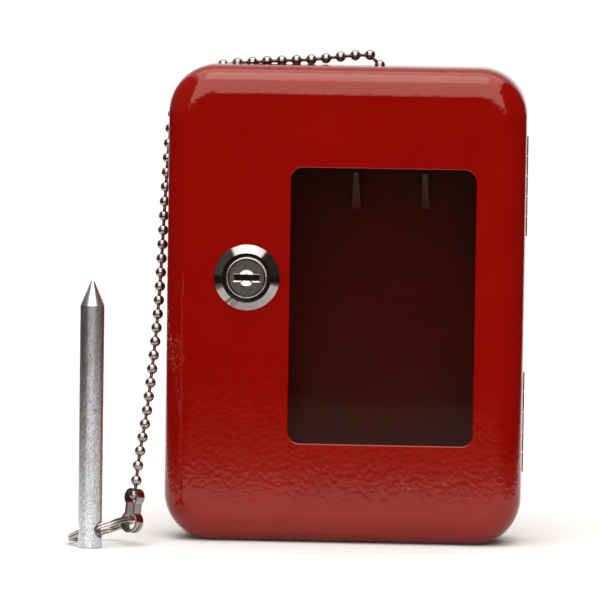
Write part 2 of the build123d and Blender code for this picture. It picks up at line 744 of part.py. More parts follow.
def split_ring():
    """Two turns of flat wire on each other, with a groove where the turns meet."""
    axis = RING_ACROSS.cross(RING_BACK)
    flat = Plane(origin=RING_CENTRE, x_dir=RING_ACROSS, z_dir=axis)
    outer = RING_MEAN_RADIUS + RING_WIRE_WIDTH / 2
    inner = RING_MEAN_RADIUS - RING_WIRE_WIDTH / 2
    ring = Cylinder(outer, RING_STACK) - Cylinder(inner, RING_STACK)
    ring -= Cylinder(outer, RING_GROOVE) - Cylinder(outer - RING_GROOVE, RING_GROOVE)
    ring -= Cylinder(inner + RING_GROOVE, RING_GROOVE)
    return flat * ring


def coupling_outline(inset):
    """The folded strip's side view, drawn up from the centre of its ring loop."""
    head_rise = COUPLING_HEIGHT - COUPLING_LOOP / 2 - COUPLING_HEAD / 2
    waist = Rectangle(COUPLING_WAIST - 2 * inset, head_rise, align=(Align.CENTER, Align.MIN))
    loop = Circle(COUPLING_LOOP / 2 - inset)
    head = Pos(0, head_rise) * Circle(COUPLING_HEAD / 2 - inset)
    return loop + waist + head


def chain_coupling():
    side = Plane(
        origin=COUPLING_LOOP_CENTRE - COUPLING_AXIS * (COUPLING_WIDTH / 2),
        x_dir=COUPLING_UP.cross(COUPLING_AXIS),
        z_dir=COUPLING_AXIS,
    )
    strip = coupling_outline(0) - coupling_outline(COUPLING_STRIP)
    coupling = extrude(side * strip, amount=COUPLING_WIDTH)
    middle = Plane(origin=COUPLING_LOOP_CENTRE, x_dir=side.x_dir, z_dir=COUPLING_AXIS)
    gap = Pos(0, -COUPLING_LOOP / 2, 0) * Box(COUPLING_LOOP + SHEET, COUPLING_LOOP, COUPLING_SLOT)
    head_rise = COUPLING_HEIGHT - COUPLING_LOOP / 2
    mouth = Pos(0, head_rise, 0) * Box(COUPLING_MOUTH, 4 * COUPLING_STRIP, COUPLING_WIDTH + SHEET)
    return coupling - middle * gap - middle * mouth


# ---- Ball chain ----


def chain_points():
    """The route with its last two points, which line up with the coupling."""
    points = [Vector(*point) for point in CHAIN_ROUTE]
    points.append(COUPLING_TOP + COUPLING_UP * CHAIN_LAST_RUN)
    points.append(COUPLING_TOP)
    return points


def arc_radii(points):
    """Each corner's arc is as large as its two runs allow."""
    radii = []
    for before, corner, after in zip(points, points[1:], points[2:]):
        run_in = corner - before
        run_out = after - corner
        turn = radians(run_in.get_angle(run_out))
        radii.append(ARC_SHARE * min(run_in.length, run_out.length) / tan(turn / 2))
    return radii


def ball_chain():
    """The outer shape of the chain: a plain tube as thick as its beads."""
    points = chain_points()
    radii = arc_radii(points)
    path = FilletPolyline(*points, radius=radii)
    start = Plane(origin=points[0], z_dir=points[1] - points[0])
    tube = sweep(start * Circle(BEAD_DIAMETER / 2), path=path)
    expected = Circle(BEAD_DIAMETER / 2).area * path.length
    print("chain arc radii", [round(radius, 1) for radius in radii])
    print("chain length", round(path.length, 1), "volume ratio", round(tube.volume / expected, 4))
    return tube


def chain_end_bead():
    """The chain's last bead, held inside the coupling's head."""
    centre = COUPLING_TOP - COUPLING_UP * END_BEAD_DROP
    return Pos(*centre) * Sphere(BEAD_DIAMETER / 2)


def chain_stop():
    """The clamp on the chain's end, wider than the grommet, so the chain can't be pulled out."""
    x, y, z = CHAIN_ROUTE[0]
    stop = upright(STOP_DIAMETER, x, y, z - STOP_HEIGHT, z)
    return chamfer(stop.faces().sort_by(Axis.Z)[0].edges(), STOP_EDGE)


def chain_grommet():
    x = CHAIN_HOLE_X
    y = CHAIN_HOLE_Y
    inside = TRAY_TOP_Z - TRAY_SHEET
    grommet = upright(GROMMET_NECK, x, y, inside, TRAY_TOP_Z)
    grommet += upright(GROMMET_FLANGE, x, y, TRAY_TOP_Z, TRAY_TOP_Z + GROMMET_LIP)
    grommet += upright(GROMMET_FLANGE, x, y, inside - GROMMET_LIP, inside)
    return grommet - upright(GROMMET_BORE, x, y, inside - 2 * GROMMET_LIP, TRAY_TOP_Z + 2 * GROMMET_LIP)


PIECES = [
    rear_tray,
    hook_rail,
    rail_rivets,
    case_hinge_leaves,
    case_hinge_rivets,
    hinge_pins,
    cam_keeper,
    keeper_rivets,
    chain_grommet,
    chain_stop,
    ball_chain,
    chain_end_bead,
    chain_coupling,
    split_ring,
    door_shell,
    glass_pane,
    pane_seal,
    pane_retainer,
    retainer_studs,
    retainer_nuts,
    door_hinge_leaves,
    lock_bezel,
    lock_housing,
    lock_nut,
    lock_star_washer,
    lock_plug,
    keyway_shutter,
    lock_wafers,
    wafer_springs,
    lock_cam,
    cam_washer,
    cam_screw,
    striker_rod,
]

os.makedirs("parts", exist_ok=True)
for piece in PIECES:
    export_step(piece(), f"parts/{piece.__name__}.step")
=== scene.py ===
import bmesh
import bpy
from math import cos, pi, radians, sin, tan
from mathutils import Matrix, Vector


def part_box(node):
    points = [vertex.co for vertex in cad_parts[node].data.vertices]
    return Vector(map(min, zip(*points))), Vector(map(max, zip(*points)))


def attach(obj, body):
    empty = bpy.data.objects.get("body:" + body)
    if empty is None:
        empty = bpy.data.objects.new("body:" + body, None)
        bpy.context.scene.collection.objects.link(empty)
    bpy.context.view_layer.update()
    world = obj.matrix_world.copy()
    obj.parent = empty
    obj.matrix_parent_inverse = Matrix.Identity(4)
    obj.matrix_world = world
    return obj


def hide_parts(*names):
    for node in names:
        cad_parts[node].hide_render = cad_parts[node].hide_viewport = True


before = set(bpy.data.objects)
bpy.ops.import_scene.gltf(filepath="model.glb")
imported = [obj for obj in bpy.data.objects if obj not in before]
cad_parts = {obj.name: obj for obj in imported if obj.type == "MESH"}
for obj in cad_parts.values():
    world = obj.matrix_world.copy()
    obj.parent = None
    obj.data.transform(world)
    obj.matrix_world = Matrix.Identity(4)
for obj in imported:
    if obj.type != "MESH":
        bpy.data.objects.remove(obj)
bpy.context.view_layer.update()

# An emergency key box: a red lid with a window and a cam lock, standing with its striker rod
# and ball chain on a pale floor. Metres throughout, unless a name ends in _MM.
MM = 0.001
MICRON = 0.000001

# ---- Places taken from the frame ----
def middle(node):
    low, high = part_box(node)
    return (low + high) / 2


LID_CENTRE = middle("door_shell")
FLOOR_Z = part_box("door_shell")[0].z
LOCK_CENTRE = middle("lock_bezel")
PLUG_FACE_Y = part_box("lock_plug")[0].y
ROD_TIP_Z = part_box("striker_rod")[1].z
RING_CENTRE = middle("split_ring")
END_BEAD = middle("chain_end_bead")

# ---- Shapes that materials follow ----
STRIKER_CONE = 8.1 * MM
# The bar's painted shade starts this far below the tip and is full from the second distance up.
STRIKER_SHADE_FROM = 45 * MM
STRIKER_SHADE_TO = 15 * MM
LOCK_NOSE_RADIUS = 6.85 * MM
PLUG_SHELF_DEPTH = 0.03 * MM
PLUG_FLOOR_DEPTH = 1.0 * MM
PLUG_POLISH_RADIUS = 4.9 * MM
PLUG_RING_PITCH = 0.4 * MM

# ---- Camera ----
CAMERA_DISTANCE = 2.0
CAMERA_AZIMUTH = radians(3.3)
CAMERA_ELEVATION = radians(4.0)
CAMERA_ROLL = radians(0.83)
CAMERA_LENS = 356.2
CAMERA_SENSOR = 36.0
CAMERA_CLIP = (0.1, 100.0)
CAMERA_AIM = LID_CENTRE + Vector((-15.5, 2.0, 0.9)) * MM

# ---- Ball chain: its route is the CAD's, as far as the two points above the coupling ----
BEAD_DIAMETER = 3.6 * MM
BEAD_PITCH = 5.0 * MM
LINK_DIAMETER = 1.2 * MM
BEAD_SEGMENTS = 24
BEAD_ROWS = 16
BEAD_MOUTH = radians(17)
BEAD_DIMPLE = 0.88
BEAD_SPIN = 0.7
LINK_SEGMENTS = 10
LINK_WAIST = 0.9
LINK_SHORTER_BY = 0.85 * BEAD_DIAMETER
CURVE_STEPS = 24
COUPLING_UP = Vector((0.08, 0.12, 0.99)).normalized()
END_BEAD_DROP = 2.5 * MM
COUPLING_TOP = END_BEAD + COUPLING_UP * END_BEAD_DROP
LAST_RUN = 11.0 * MM
CHAIN_ROUTE_MM = [
    (10.5, -8.0, 72.4),
    (10.5, -8.0, 83.9),
    (-1.5, -8.1, 82.9),
    (-13.5, -8.1, 81.3),
    (-25.0, -8.4, 80.9),
    (-36.0, -8.8, 80.1),
    (-44.0, -9.1, 79.6),
    (-54.2, -9.3, 74.4),
    (-60.0, -9.6, 65.0),
    (-61.4, -10.2, 56.0),
    (-61.9, -11.6, 46.0),
    (-62.4, -14.6, 32.6),
    (-62.7, -19.2, 17.6),
    (-62.9, -25.5, 3.1),
    (-63.4, -32.5, -11.5),
    (-64.3, -39.8, -25.6),
    (-65.4, -46.6, -39.8),
]

# ---- Split ring: two turns of flat wire, one climbing onto the other ----
RING_RADIUS = 11.3 * MM
RING_WIRE_WIDTH = 1.3 * MM
RING_WIRE_THICK = 0.94 * MM
RING_WIRE_ROUND = 0.26 * MM
RING_TURN_PITCH = 1.0 * MM
RING_TURN = radians(16)
RING_TILT = radians(20)
RING_DROP = radians(5.2)
RING_CLIMB = radians(38)
RING_START = radians(200)
RING_STEPS = 240
WIRE_CORNER_STEPS = 3

# ---- Floor and the dark card on it: the card starts and is full at these distances ----
FLOOR_PALE = (0.76, 0.76, 0.76, 1.0)
FLOOR_ROUGHNESS = 0.7
SHEET_HALF_WIDTH = 30.0
CARD_RISE = 0.2 * MM
CARD_START_Y = -0.20
CARD_FULL_Y = -0.62
CARD_START_X = 0.22
CARD_FULL_X = 0.40
CARD_SPREAD = 0.3
CARD_OPAQUE_BELOW = 0.98
CARD_EDGE = (0.30, 0.25, 0.22)
CARD_NEAR = (0.15, 0.115, 0.10)
CARD_FAR = (0.014, 0.012, 0.011)

# ---- Light: directions are parts of a unit vector, as the world's Generated place gives them ----
BAND_HALF_WIDTH = 0.545
BAND_SIDE_SOFTNESS = 0.04
BAND_PAST_TOP = radians(26)
BAND_END_SOFTNESS = 0.05
BAND_LOW = 0.07
BAND_HIGH = 0.16
BAND_LIGHT = 2.6
BACK_FULL_BY = 0.3
LEFT_FULL_BY = -0.60
ROOM_COLOUR = (1.0, 0.965, 0.94, 1.0)
SIDE_LIGHT = 0.05
LEFT_LIGHT = 0.12
BACK_LIGHT = 0.7
SOFTBOX_PLACE = Vector((-0.05, -0.35, 1.4))
SOFTBOX_SIZE = 0.9
SOFTBOX_WATTS = 5.0

# ---- Blemishes in the lid's paint: x, z and radius in millimetres. The core is the fully marked part. ----
BLEMISH_CORE = 0.4
LID_PITS = [
    (22.7, -59.8, 1.1),
    (20.6, -58.4, 0.8),
    (34.7, -58.6, 0.7),
    (43.2, -62.9, 0.9),
    (25.8, -64.5, 0.5),
]

LID_RUBS = [
    (-57.4, -13.0, 4.0),
    (-57.0, -19.0, 4.5),
]

# ---- Colours ----
LID_RED_DEEP = (0.198, 0.0014, 0.0005)
LID_RED_LIGHT = (0.216, 0.0021, 0.0009)
# The inside red is a darker copy of the lid's red: painted shade for the parts inside the box.
SHADED_INSIDE_RED_DEEP = (0.125, 0.0025, 0.0016)
SHADED_INSIDE_RED_LIGHT = (0.15, 0.0035, 0.0022)
PIT_RED = (0.16, 0.004, 0.003)
RUBBED_RED = (0.45, 0.10, 0.06)
RED_GLEAM = (1.0, 0.88, 0.76, 1.0)
ZINC_DARK = (0.42, 0.43, 0.45)
ZINC_LIGHT = (0.66, 0.67, 0.68)
CAST_DARK = (0.08, 0.072, 0.069)
CAST_LIGHT = (0.15, 0.135, 0.13)
CAST_SPECK = (0.03, 0.028, 0.027)
CAST_POLISHED = (0.90, 0.88, 0.86)
NOSE_DARK = (0.66, 0.64, 0.62)
NOSE_LIGHT = (0.80, 0.78, 0.76)
# Painted shade for the sunken ring round the lock's nose.
GROOVE_SHADE = (0.05, 0.045, 0.043)
STEEL_DARK = (0.50, 0.52, 0.54)
STEEL_LIGHT = (0.93, 0.95, 0.97)
STEEL_SHADE = (0.45, 0.455, 0.465)
STEEL_STAIN = (0.42, 0.41, 0.40)
STEEL_CONE = (0.74, 0.74, 0.75)
RUBBER_BLACK = (0.012, 0.012, 0.012)
RUBBER_DUST = (0.05, 0.048, 0.046)
BRASS_DARK = (0.55, 0.38, 0.14)
BRASS_LIGHT = (0.72, 0.54, 0.24)
GLASS_TINT = (0.80, 0.86, 0.84, 1.0)
GLASS_IOR = 1.5
HAZE_DARKENS_TO = 0.82

# ---- Building blocks for materials ----


class Nodes:
    """A node tree, with short ways to add the nodes used here."""

    def __init__(self, tree, place):
        self.tree = tree
        self.place = tree.nodes.new("ShaderNodeTexCoord").outputs[place]

    def link(self, output, target):
        self.tree.links.new(output, target)

    def feed(self, node, socket, value):
        """Sets a socket to a number or colour, or links it to another node's output."""
        target = node.inputs[socket]
        if isinstance(value, bpy.types.NodeSocket):
            self.link(value, target)
        else:
            target.default_value = value

    def math(self, operation, first, second=0.0):
        node = self.tree.nodes.new("ShaderNodeMath")
        node.operation = operation
        self.feed(node, 0, first)
        self.feed(node, 1, second)
        return node.outputs[0]

    def stretched(self, scale, rotation=(0, 0, 0)):
        """The place, scaled so that noise on it is drawn out along an axis."""
        node = self.tree.nodes.new("ShaderNodeMapping")
        node.inputs["Scale"].default_value = scale
        node.inputs["Rotation"].default_value = rotation
        self.link(self.place, node.inputs["Vector"])
        return node.outputs[0]

    def noise(self, size, detail=2.0, roughness=0.5, place=None):
        """Noise whose lumps are about size across, in metres."""
        node = self.tree.nodes.new("ShaderNodeTexNoise")
        node.inputs["Scale"].default_value = 1.0 / size
        node.inputs["Detail"].default_value = detail
        node.inputs["Roughness"].default_value = roughness
        self.link(place or self.place, node.inputs["Vector"])
        return node.outputs[0]

    def dots(self, size):
        """Distance to the nearest of scattered points about size apart."""
        node = self.tree.nodes.new("ShaderNodeTexVoronoi")
        node.inputs["Scale"].default_value = 1.0 / size
        self.link(self.place, node.inputs["Vector"])
        return node.outputs["Distance"]

    def axis(self, name):
        node = self.tree.nodes.new("ShaderNodeSeparateXYZ")
        self.link(self.place, node.inputs[0])
        return node.outputs[name]

    def ramp(self, value, stops):
        """A colour that changes with a value, given as (position, colour) stops."""
        node = self.tree.nodes.new("ShaderNodeValToRGB")
        elements = node.color_ramp.elements
        while len(elements) < len(stops):
            elements.new(0.5)
        for element, (position, colour) in zip(elements, stops):
            element.position = position
            element.color = (*colour, 1.0)
        self.feed(node, 0, value)
        return node.outputs[0]

    def rescale(self, value, low, high, to_low=0.0, to_high=1.0):
        """A value moved from low..high to to_low..to_high, and held at both ends."""
        node = self.tree.nodes.new("ShaderNodeMapRange")
        self.feed(node, "Value", value)
        node.inputs["From Min"].default_value = low
        node.inputs["From Max"].default_value = high
        node.inputs["To Min"].default_value = to_low
        node.inputs["To Max"].default_value = to_high
        return node.outputs[0]

    def mix(self, share, first, second):
        """The first colour at a share of 0 and the second at 1."""
        node = self.tree.nodes.new("ShaderNodeMix")
        node.data_type = "RGBA"
        self.feed(node, 0, share)
        for socket, value in ((6, first), (7, second)):
            if isinstance(value, tuple):
                value = (*value, 1.0)
            self.feed(node, socket, value)
        return node.outputs[2]

    def bump(self, height, depth, under=None):
        """Bump from a height of 0 to 1 that stands for a relief of depth metres."""
        node = self.tree.nodes.new("ShaderNodeBump")
        node.inputs["Strength"].default_value = 1.0
        node.inputs["Distance"].default_value = depth
        self.link(height, node.inputs["Height"])
        if under is not None:
            self.link(under, node.inputs["Normal"])
        return node.outputs[0]


class Paint(Nodes):
    """A material and its node tree."""

    def __init__(self, name, **settings):
        self.material = bpy.data.materials.new(name)
        self.material.use_nodes = True
        super().__init__(self.material.node_tree, "Object")
        self.shader = self.tree.nodes["Principled BSDF"]
        for socket, value in settings.items():
            self.shader.inputs[socket.replace("_", " ")].default_value = value

    def colour(self, value):
        self.feed(self.shader, "Base Color", value)

    def roughness(self, value):
        self.feed(self.shader, "Roughness", value)

    def normal(self, value):
        self.link(value, self.shader.inputs["Normal"])


def wear(node, material):
    """Gives one of the frame's nodes a material."""
    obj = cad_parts[node]
    obj.data.materials.clear()
    obj.data.materials.append(material)


# ---- Materials. Sizes of noise and depths of relief are in metres. ----


def away_from(paint, centre_x, centre_z):
    """How far a point is, seen from the front, from a place."""
    across = paint.math("SUBTRACT", paint.axis("X"), centre_x)
    rise = paint.math("SUBTRACT", paint.axis("Z"), centre_z)
    square = paint.math("ADD", paint.math("MULTIPLY", across, across), paint.math("MULTIPLY", rise, rise))
    return paint.math("SQRT", square)


def near(paint, x, z, radius):
    """1 at a place on the lid's front, given from the lid's middle in millimetres, and 0 past radius."""
    distance = away_from(paint, LID_CENTRE.x + x * MM, LID_CENTRE.z + z * MM)
    return paint.rescale(distance, radius * MM, BLEMISH_CORE * radius * MM)


def any_of(paint, masks):
    """The largest of several masks."""
    total = masks[0]
    for mask in masks[1:]:
        total = paint.math("MAXIMUM", total, mask)
    return total


def red_paint(name, deep, light, gloss, pits=(), rubs=()):
    """Glossy paint with orange peel, slow changes of shade, and pits and rubbed places where given."""
    paint = Paint(name, Specular_IOR_Level=0.5, Specular_Tint=RED_GLEAM)
    slow = paint.noise(30 * MM, detail=3.0)
    shade = paint.mix(paint.rescale(slow, 0.35, 0.68), deep, light)
    peel = paint.noise(1.5 * MM, detail=0.5)
    broad = paint.noise(10 * MM, detail=1.0)
    paint.roughness(paint.rescale(paint.noise(4 * MM, detail=4.0), 0.3, 0.7, gloss, gloss + 0.05))
    relief = paint.bump(broad, 10 * MICRON)
    relief = paint.bump(peel, 42 * MICRON, under=relief)
    if pits:
        sunk = any_of(paint, [near(paint, *pit) for pit in pits])
        shade = paint.mix(sunk, shade, PIT_RED)
        relief = paint.bump(paint.math("SUBTRACT", 1.0, sunk), 120 * MICRON, under=relief)
    if rubs:
        touched = any_of(paint, [near(paint, *rub) for rub in rubs])
        flecks = paint.rescale(paint.noise(0.8 * MM, detail=2.0), 0.54, 0.62, 0.0, 0.45)
        shade = paint.mix(paint.math("MULTIPLY", touched, flecks), shade, RUBBED_RED)
    paint.colour(shade)
    paint.normal(relief)
    return paint.material


def zinc_plate():
    """Bright zinc plate: fine spangle and faint rolling lines."""
    paint = Paint("zinc_plate", Metallic=1.0)
    cells = paint.noise(1.2 * MM, detail=3.0)
    lines = paint.noise(0.6 * MM, detail=3.0, place=paint.stretched((1.0, 1.0, 0.08)))
    paint.colour(paint.mix(cells, ZINC_DARK, ZINC_LIGHT))
    paint.roughness(paint.rescale(lines, 0.3, 0.7, 0.22, 0.40))
    paint.normal(paint.bump(lines, 8 * MICRON))
    return paint.material


def polished_nickel(name, shade, gloss):
    """Bright plate with hairline scratches and a breath of haze."""
    paint = Paint(name, Metallic=1.0)
    haze = paint.noise(3 * MM, detail=4.0)
    hairs = paint.noise(0.5 * MM, detail=4.0, place=paint.stretched((1.0, 1.0, 0.2)))
    dark = tuple(HAZE_DARKENS_TO * channel for channel in shade)
    paint.colour(paint.mix(paint.rescale(haze, 0.35, 0.7), dark, shade))
    paint.roughness(paint.rescale(hairs, 0.35, 0.7, gloss, gloss + 0.08))
    paint.normal(paint.bump(hairs, 3 * MICRON))
    return paint.material


def lock_plug_zinc():
    """The plug: dull cast metal with dark specks and turned rings, polished where the key enters."""
    paint = Paint("lock_plug_zinc", Metallic=1.0)
    radius = away_from(paint, LOCK_CENTRE.x, LOCK_CENTRE.z)
    depth = paint.math("SUBTRACT", paint.axis("Y"), PLUG_FACE_Y)
    below_face = paint.rescale(depth, PLUG_SHELF_DEPTH, 2 * PLUG_SHELF_DEPTH)
    above_floor = paint.rescale(depth, PLUG_FLOOR_DEPTH, 0.9 * PLUG_FLOOR_DEPTH)
    inner = paint.rescale(radius, PLUG_POLISH_RADIUS, PLUG_POLISH_RADIUS - 0.2 * MM)
    polished = paint.math("MULTIPLY", paint.math("MULTIPLY", below_face, above_floor), inner)
    grain = paint.noise(0.5 * MM, detail=3.0)
    tone = paint.mix(paint.noise(2 * MM, detail=3.0), CAST_DARK, CAST_LIGHT)
    specks = paint.rescale(paint.dots(1.1 * MM), 0.12, 0.22)
    face = paint.mix(specks, CAST_SPECK, tone)
    paint.colour(paint.mix(polished, face, CAST_POLISHED))
    dull = paint.rescale(grain, 0.3, 0.7, 0.34, 0.50)
    paint.roughness(paint.mix(polished, dull, (0.22, 0.22, 0.22)))
    rings = paint.math("SINE", paint.math("MULTIPLY", radius, 2 * pi / PLUG_RING_PITCH))
    relief = paint.bump(paint.rescale(rings, -1.0, 1.0), 4 * MICRON)
    paint.normal(paint.bump(grain, 12 * MICRON, under=relief))
    return paint.material


def lock_housing_zinc():
    """The housing: bright on its turned nose, with painted shade in the sunken ring round it."""
    paint = Paint("lock_housing_zinc", Metallic=1.0)
    radius = away_from(paint, LOCK_CENTRE.x, LOCK_CENTRE.z)
    grain = paint.noise(0.7 * MM, detail=3.0)
    # Painted shade: the sunken ring round the nose is coloured near black.
    groove_shade = paint.rescale(radius, LOCK_NOSE_RADIUS + 0.02 * MM, LOCK_NOSE_RADIUS + 0.08 * MM)
    bright = paint.mix(grain, NOSE_DARK, NOSE_LIGHT)
    paint.colour(paint.mix(groove_shade, bright, GROOVE_SHADE))
    paint.roughness(paint.rescale(grain, 0.3, 0.7, 0.18, 0.28))
    paint.normal(paint.bump(grain, 3 * MICRON))
    return paint.material


def turned_steel():
    """The striker: a finely turned bar, mottled, with painted shade over its upper part and a brighter cone.
    """
    paint = Paint("turned_steel", Metallic=1.0)
    mottle = paint.noise(0.7 * MM, detail=4.0, roughness=0.7)
    stain = paint.noise(6 * MM, detail=4.0)
    bar = paint.mix(paint.rescale(mottle, 0.38, 0.62), STEEL_DARK, STEEL_LIGHT)
    height = paint.axis("Z")
    # Painted shade: the bar is mixed towards a darker grey over its upper part, below the cone.
    upper_shade = paint.rescale(height, ROD_TIP_Z - STRIKER_SHADE_FROM, ROD_TIP_Z - STRIKER_SHADE_TO, 0.0, 0.6)
    bar = paint.mix(upper_shade, bar, STEEL_SHADE)
    bar = paint.mix(paint.rescale(stain, 0.55, 0.75, 0.0, 0.5), bar, STEEL_STAIN)
    cone_start = ROD_TIP_Z - STRIKER_CONE
    on_cone = paint.rescale(height, cone_start, cone_start + 0.1 * MM)
    paint.colour(paint.mix(on_cone, bar, STEEL_CONE))
    turning = paint.noise(0.3 * MM, detail=2.0, place=paint.stretched((0.06, 0.06, 1.0)))
    paint.roughness(paint.rescale(mottle, 0.3, 0.7, 0.26, 0.40))
    relief = paint.bump(turning, 40 * MICRON)
    paint.normal(paint.bump(mottle, 20 * MICRON, under=relief))
    return paint.material


def rubber():
    """Black rubber, matt and a little dusty."""
    paint = Paint("black_rubber", Specular_IOR_Level=0.3)
    grain = paint.noise(0.6 * MM, detail=3.0)
    dust = paint.noise(4 * MM, detail=3.0)
    paint.colour(paint.mix(paint.rescale(dust, 0.4, 0.8), RUBBER_BLACK, RUBBER_DUST))
    paint.roughness(paint.rescale(grain, 0.3, 0.7, 0.55, 0.75))
    paint.normal(paint.bump(grain, 20 * MICRON))
    return paint.material


def window_glass():
    """Clear float glass, with faint smears in its polish."""
    paint = Paint("window_glass", Transmission_Weight=1.0, IOR=GLASS_IOR, Base_Color=GLASS_TINT)
    wiped = paint.stretched((1.0, 1.0, 0.35), rotation=(0, 0.5, 0))
    smears = paint.noise(20 * MM, detail=3.0, place=wiped)
    paint.roughness(paint.rescale(smears, 0.45, 0.75, 0.0, 0.015))
    return paint.material


def brass():
    """Stamped brass, slightly tarnished in patches."""
    paint = Paint("brass", Metallic=1.0)
    tone = paint.noise(1.5 * MM, detail=2.0)
    paint.colour(paint.mix(tone, BRASS_DARK, BRASS_LIGHT))
    paint.roughness(paint.rescale(tone, 0.3, 0.7, 0.25, 0.4))
    return paint.material


# ---- Pieces ----


def mesh_piece(name, mesh, body, material):
    """A smooth-shaded piece that rides on one of the frame's bodies."""
    piece = bpy.data.objects.new(name, mesh)
    bpy.context.scene.collection.objects.link(piece)
    for face in mesh.polygons:
        face.use_smooth = True
    mesh.materials.append(material)
    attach(piece, body)
    return piece


def smooth_line(name, points):
    """The points of a smooth curve that is drawn towards the given ones."""
    curve = bpy.data.curves.new(name, "CURVE")
    curve.dimensions = "3D"
    spline = curve.splines.new("NURBS")
    spline.points.add(len(points) - 1)
    for control, point in zip(spline.points, points):
        control.co = (*point, 1.0)
    spline.order_u = 3
    spline.use_endpoint_u = True
    spline.resolution_u = CURVE_STEPS
    guide = bpy.data.objects.new(name, curve)
    bpy.context.scene.collection.objects.link(guide)
    mesh = bpy.data.meshes.new_from_object(guide)
    line = [vertex.co.copy() for vertex in mesh.vertices]
    bpy.data.meshes.remove(mesh)
    bpy.data.objects.remove(guide)
    bpy.data.curves.remove(curve)
    return line


def spaced(line, pitch, first):
    """Points along a line at an even pitch, each with the line's direction there, and its length."""
    places = []
    wanted = first
    walked = 0.0
    for start, end in zip(line, line[1:]):
        step = (end - start).length
        while step > 0 and walked + step >= wanted:
            places.append((start.lerp(end, (wanted - walked) / step), (end - start).normalized()))
            wanted += pitch
        walked += step
    return places, walked


def turn_solid(form, profile, matrix, segments, shade=0):
    """Adds a surface of revolution in one of the mesh's materials; profile is (along, radius).

    A radius of 0 is a single vertex on the axis, so the faces beside it are triangles.
    """
    rings = []
    for along, radius in profile:
        if radius == 0.0:
            rings.append([form.verts.new(matrix @ Vector((0, 0, along)))])
            continue
        ring = []
        for step in range(segments):
            angle = 2 * pi * step / segments
            ring.append(form.verts.new(matrix @ Vector((radius * cos(angle), radius * sin(angle), along))))
        rings.append(ring)
    for low, high in zip(rings, rings[1:]):
        for step in range(segments):
            after = (step + 1) % segments
            corners = [
                low[step % len(low)],
                low[after % len(low)],
                high[after % len(high)],
                high[step % len(high)],
            ]
            unique = list(dict.fromkeys(corners))
            if len(unique) > 2:
                form.faces.new(unique).material_index = shade


def aimed(place, direction, spin=0.0):
    """A matrix that puts a shape's own Z along a direction at a place."""
    turn = direction.to_track_quat("Z", "Y").to_matrix().to_4x4()
    return Matrix.Translation(place) @ turn @ Matrix.Rotation(spin, 4, "Z")


def bead_profile():
    """A stamped hollow ball, flattened inwards where the links go in."""
    radius = BEAD_DIAMETER / 2
    profile = [(-BEAD_DIMPLE * radius, 0.0)]
    for row in range(BEAD_ROWS + 1):
        angle = -pi / 2 + BEAD_MOUTH + (pi - 2 * BEAD_MOUTH) * row / BEAD_ROWS
        profile.append((radius * sin(angle), radius * cos(angle)))
    profile.append((BEAD_DIMPLE * radius, 0.0))
    return profile


def link_profile(length):
    """A short wire link, a little thinner in its middle."""
    radius = LINK_DIAMETER / 2
    half = length / 2
    return [(-half, 0.0), (-half, radius), (0.0, radius * LINK_WAIST), (half, radius), (half, 0.0)]


def chain_line():
    """The chain's centre line from the coupling back to the stop inside the box."""
    points = [Vector(point) * MM for point in CHAIN_ROUTE_MM]
    points.append(COUPLING_TOP + COUPLING_UP * LAST_RUN)
    points.append(COUPLING_TOP)
    return smooth_line("chain_line", points[::-1])


def bead_chain(material, shaded_link_material, ring):
    """Beads at an even pitch along the chain's line, with a link in each gap, as one piece."""
    line = chain_line()
    into_coupling = (END_BEAD - COUPLING_TOP).length
    places, length = spaced(line, BEAD_PITCH, BEAD_PITCH - into_coupling)
    form = bmesh.new()
    for number, (place, direction) in enumerate(places):
        turn_solid(form, bead_profile(), aimed(place, direction, BEAD_SPIN * number), BEAD_SEGMENTS)
    ends = [END_BEAD] + [place for place, _ in places] + [line[-1]]
    for place, after in zip(ends, ends[1:]):
        gap = after - place
        link = link_profile(max(gap.length - LINK_SHORTER_BY, LINK_DIAMETER))
        # Links take the second, darker material: painted shade between the beads.
        turn_solid(form, link, aimed((place + after) / 2, gap.normalized()), LINK_SEGMENTS, shade=1)
    bmesh.ops.recalc_face_normals(form, faces=form.faces)
    mesh = bpy.data.meshes.new("bead_chain")
    form.to_mesh(mesh)
    form.free()
    chain = mesh_piece("bead_chain", mesh, "case", material)
    mesh.materials.append(shaded_link_material)
    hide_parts("ball_chain")


def wire_section():
    """The flat wire's outline as (outward, along the ring's axis), with eased corners."""
    wide = RING_WIRE_WIDTH / 2
    thick = RING_WIRE_THICK / 2
    outline = []
    for number, (side, end) in enumerate(((1, 1), (-1, 1), (-1, -1), (1, -1))):
        for step in range(WIRE_CORNER_STEPS + 1):
            angle = pi / 2 * (number + step / WIRE_CORNER_STEPS)
            outward = side * (wide - RING_WIRE_ROUND) + RING_WIRE_ROUND * cos(angle)
            along = end * (thick - RING_WIRE_ROUND) + RING_WIRE_ROUND * sin(angle)
            outline.append((outward, along))
    return outline


